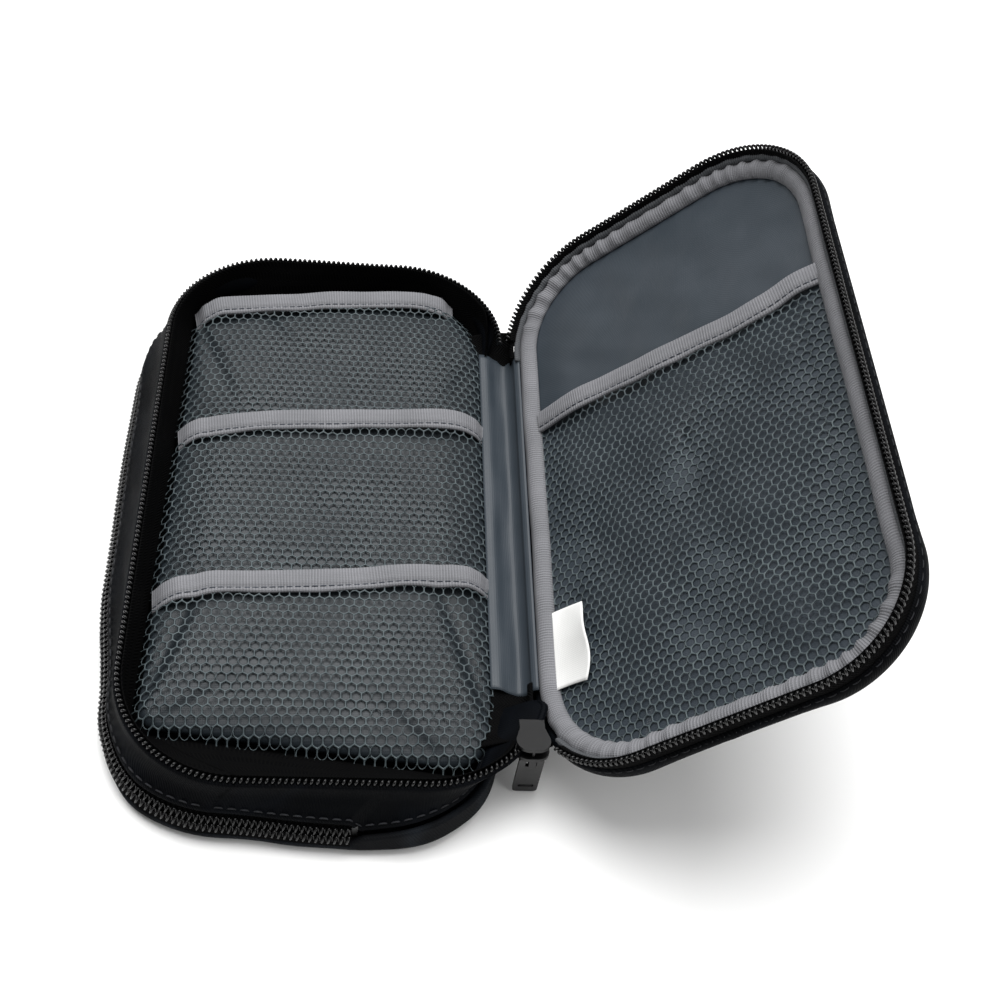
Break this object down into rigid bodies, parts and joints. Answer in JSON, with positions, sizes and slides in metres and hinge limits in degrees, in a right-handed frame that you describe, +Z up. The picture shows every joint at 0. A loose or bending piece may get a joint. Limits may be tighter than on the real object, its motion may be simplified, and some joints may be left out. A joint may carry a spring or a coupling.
{
  "type": "travel organizer case",
  "caption": "Zip-round padded travel case standing open, with mesh pockets in base and lid, a zipped back pocket and hanging zip pulls.",
  "frame": {"origin": "centre of the base's rest face, on the surface it lies on", "axes": "+Z up; +X from the base across the spine to the lid; +Y along the case's length, from the front end to the back end"},
  "size_m": [0.2126, 0.2124, 0.103],
  "materials": {
    "outer_fabric": "woven polyester, matt",
    "lining": "smooth nylon, soft sheen",
    "board": "matt",
    "foam": "closed-cell foam, matt",
    "mesh": "knitted net over lining",
    "binding": "ribbed grosgrain, soft sheen",
    "zip_tape": "herringbone weave",
    "coil": "glossy nylon",
    "black_metal": "satin paint",
    "label": "woven label, matt"
  },
  "bodies": {
    "base": {"back_panel": "outer_fabric", "back_pocket_lining": "lining", "back_zip_tape_lower": "zip_tape", "back_zip_tape_upper": "zip_tape", "back_zip_coil_lower": "coil", "back_zip_coil_upper": "coil", "back_zip_stops": "coil", "side_gusset": "outer_fabric", "divider_back_lining": "lining", "divider_board": "board", "divider_foam": "foam", "divider_lining": "lining", "pocket_mesh_upper": "mesh", "pocket_mesh_middle": "mesh", "pocket_mesh_lower": "mesh", "pocket_binding_upper": "binding", "pocket_binding_middle": "binding", "pocket_binding_lower": "binding", "main_zip_tape_base": "zip_tape", "main_zip_coil_base": "coil", "spine_outer": "outer_fabric", "spine_lining": "lining", "zip_end_front": "zip_tape", "zip_end_back": "zip_tape"},
    "lid": {"lid_panel": "outer_fabric", "lid_board": "board", "lid_lining": "lining", "lid_pocket_mesh": "mesh", "lid_pocket_binding": "binding", "lid_seam_binding": "binding", "main_zip_tape_lid": "zip_tape", "main_zip_coil_lid": "coil", "care_label": "label"},
    "main_zip_slider": {"main_slider": "black_metal"},
    "main_zip_pull": {"main_pull_tab": "black_metal"},
    "back_zip_slider": {"back_slider": "black_metal"},
    "back_zip_pull": {"back_pull_tab": "black_metal"}
  },
  "joints": [
    {"name": "lid_fold", "type": "hinge", "parent": "base", "child": "lid", "pos_m": [0.055, 0, 0.0227], "axis": [0, -1, 0], "range_deg": [-45, 135], "deforming": ["spine_outer", "spine_lining", "zip_end_front", "zip_end_back"]},
    {"name": "main_slider_travel", "type": "slide", "parent": "base", "child": "main_zip_slider", "axis": [0, 0.9659, -0.2588], "range_m": [0, 0.0015]},
    {"name": "main_pull_swing", "type": "hinge", "parent": "main_zip_slider", "child": "main_zip_pull", "pos_m": [0.0543, -0.0894, 0.019], "axis": [-1, 0, 0], "range_deg": [-5, 90]},
    {"name": "back_slider_travel", "type": "slide", "parent": "base", "child": "back_zip_slider", "axis": [-1, 0, 0], "range_m": [0, 0.024]},
    {"name": "back_pull_swing", "type": "hinge", "parent": "back_zip_slider", "child": "back_zip_pull", "pos_m": [0.0034, 0.10435, 0.0074], "axis": [0, 0, 1], "range_deg": [0, 180]}
  ]
}
